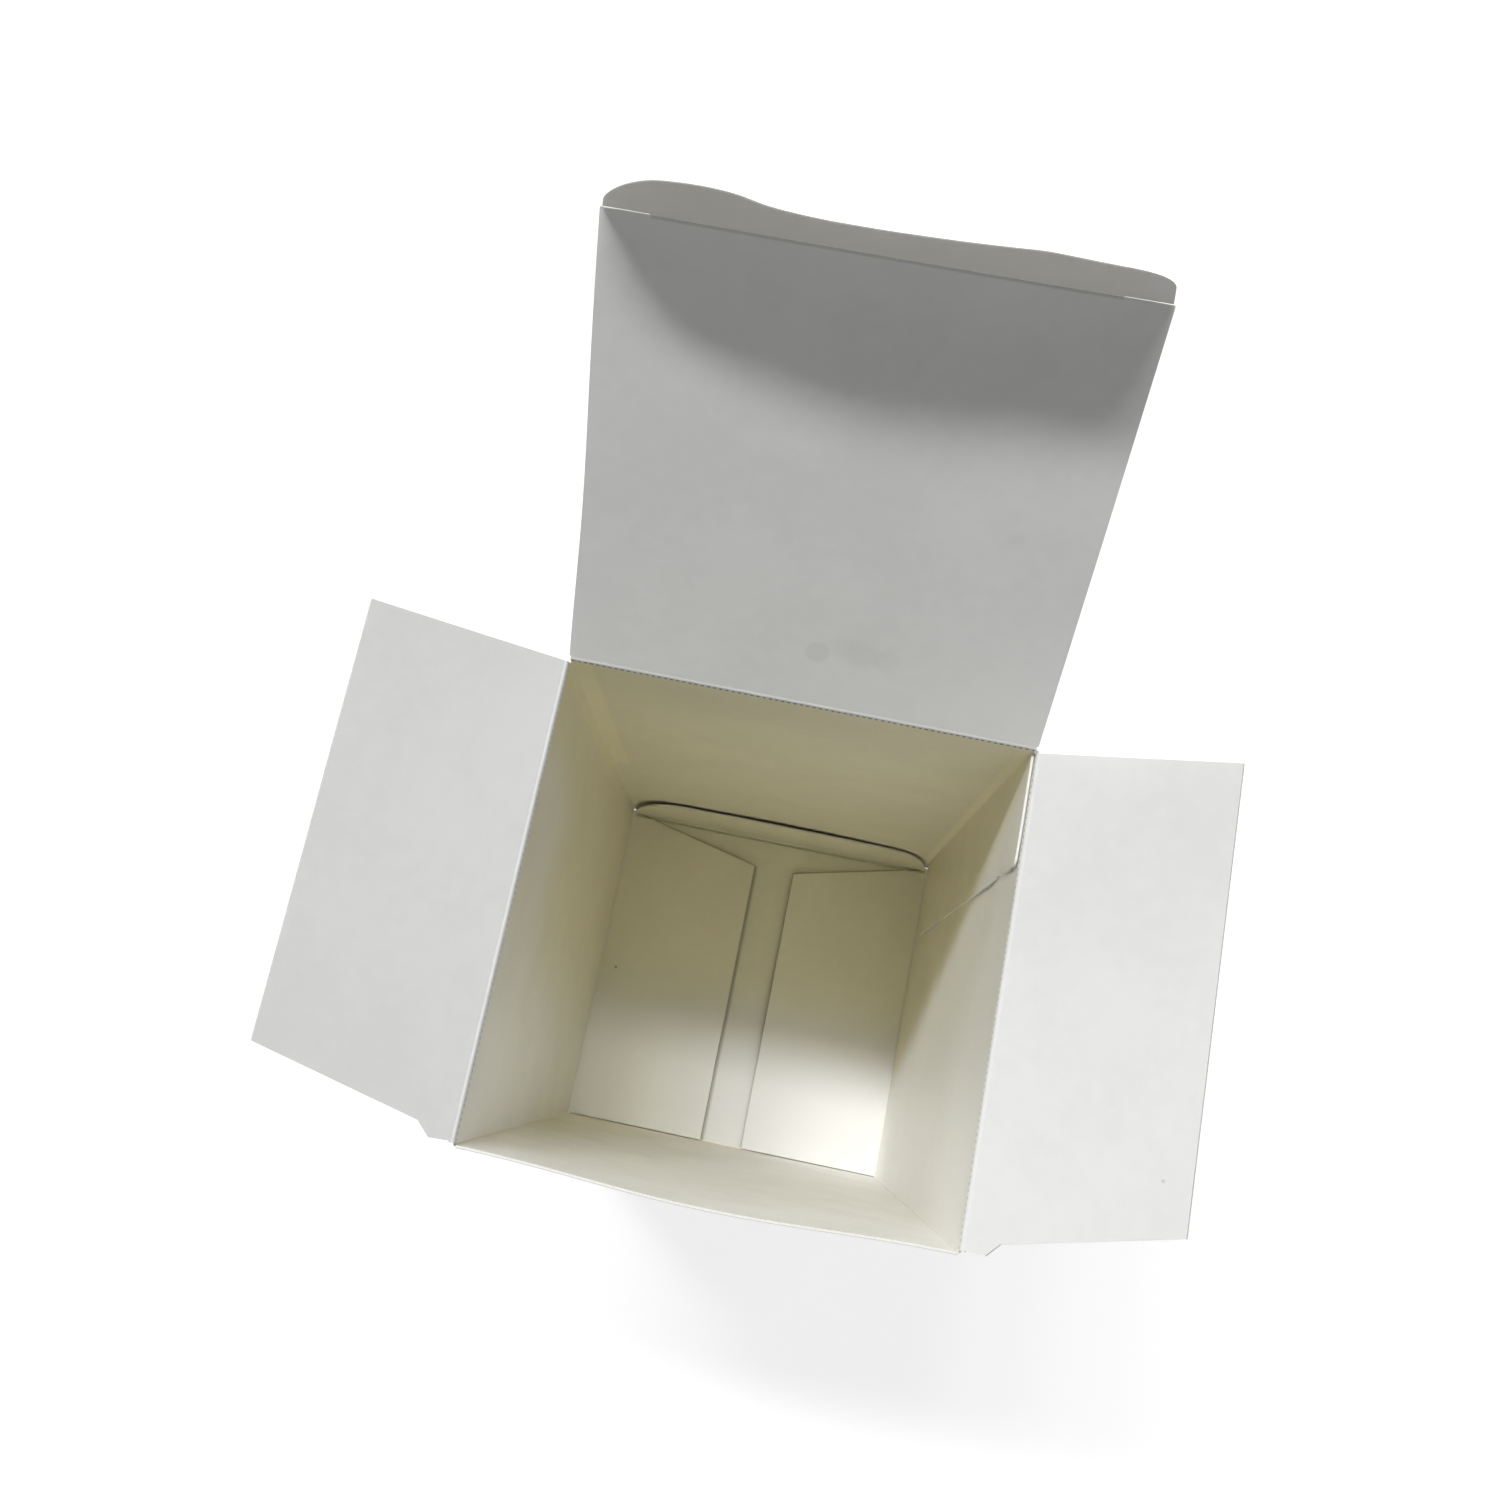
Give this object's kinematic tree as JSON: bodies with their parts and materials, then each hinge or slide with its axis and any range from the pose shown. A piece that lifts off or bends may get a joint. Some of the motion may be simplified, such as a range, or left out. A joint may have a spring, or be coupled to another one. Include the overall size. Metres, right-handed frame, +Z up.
{
  "type": "tuck end carton",
  "caption": "Tall square paperboard carton for a perfume bottle: hinged lid with slit-lock tuck, two top dust flaps, and a tucked bottom.",
  "frame": {"origin": "centre of the underside of the closed bottom", "axes": "+Z up along the carton, -Y out of the front wall, +X to the right; the lid hinges on the back wall at +Y"},
  "size_m": [0.1206, 0.114, 0.2059],
  "materials": {
    "board_outside": "satin clay-coated white",
    "board_inside": "matte uncoated off-white",
    "creased_board": "matte pressed board",
    "dried_glue": "thin dried adhesive"
  },
  "bodies": {
    "sleeve": {"back_wall": "board_outside", "left_wall": "board_outside", "right_wall": "board_outside", "front_wall": "board_outside", "back_left_corner": "creased_board", "front_left_corner": "creased_board", "front_right_corner": "creased_board", "back_right_corner": "creased_board", "glue_flap": "board_inside", "glue_line": "dried_glue", "lid_crease": "creased_board", "left_dust_flap_crease": "creased_board", "right_dust_flap_crease": "creased_board", "bottom_crease": "creased_board", "bottom_left_dust_flap_crease": "creased_board", "bottom_right_dust_flap_crease": "creased_board"},
    "lid": {"lid_panel": "board_inside", "lid_tuck_crease": "creased_board"},
    "lid_tuck": {"lid_tuck": "board_inside"},
    "left_dust_flap": {"left_dust_flap": "board_inside"},
    "right_dust_flap": {"right_dust_flap": "board_inside"},
    "bottom_panel": {"bottom_panel": "board_inside", "bottom_tuck_crease": "creased_board"},
    "bottom_tuck": {"bottom_tuck": "board_inside"},
    "bottom_left_dust_flap": {"bottom_left_dust_flap": "board_inside"},
    "bottom_right_dust_flap": {"bottom_right_dust_flap": "board_inside"}
  },
  "joints": [
    {"name": "lid_hinge", "type": "hinge", "parent": "sleeve", "child": "lid", "pos_m": [0, 0.035, 0.14], "axis": [1, 0, 0], "range_deg": [-136.8, 128.2]},
    {"name": "lid_tuck_fold", "type": "hinge", "parent": "lid", "child": "lid_tuck", "pos_m": [0, 0.07776, 0.19434], "axis": [1, 0, 0], "range_deg": [-52, 49]},
    {"name": "left_dust_flap_hinge", "type": "hinge", "parent": "sleeve", "child": "left_dust_flap", "pos_m": [-0.035, 0, 0.1393], "axis": [0, 1, 0], "range_deg": [-114, 151]},
    {"name": "right_dust_flap_hinge", "type": "hinge", "parent": "sleeve", "child": "right_dust_flap", "pos_m": [0.035, 0, 0.1393], "axis": [0, -1, 0], "range_deg": [-120.5, 144.5]},
    {"name": "bottom_panel_hinge", "type": "hinge", "parent": "sleeve", "child": "bottom_panel", "pos_m": [0, -0.035, 0], "axis": [1, 0, 0], "range_deg": [-175, 0]},
    {"name": "bottom_tuck_fold", "type": "hinge", "parent": "bottom_panel", "child": "bottom_tuck", "pos_m": [0, 0.03375, 0.0004], "axis": [-1, 0, 0], "range_deg": [-34, 0]},
    {"name": "bottom_left_dust_flap_hinge", "type": "hinge", "parent": "sleeve", "child": "bottom_left_dust_flap", "pos_m": [-0.0346, 0, 0.0011], "axis": [0, 1, 0], "range_deg": [-78, 0]},
    {"name": "bottom_right_dust_flap_hinge", "type": "hinge", "parent": "sleeve", "child": "bottom_right_dust_flap", "pos_m": [0.0346, 0, 0.0011], "axis": [0, -1, 0], "range_deg": [-78, 0]}
  ],
  "couplings": [
    {"joint": "lid_tuck_fold", "follows": "lid_hinge", "ratio": 0.375}
  ]
}
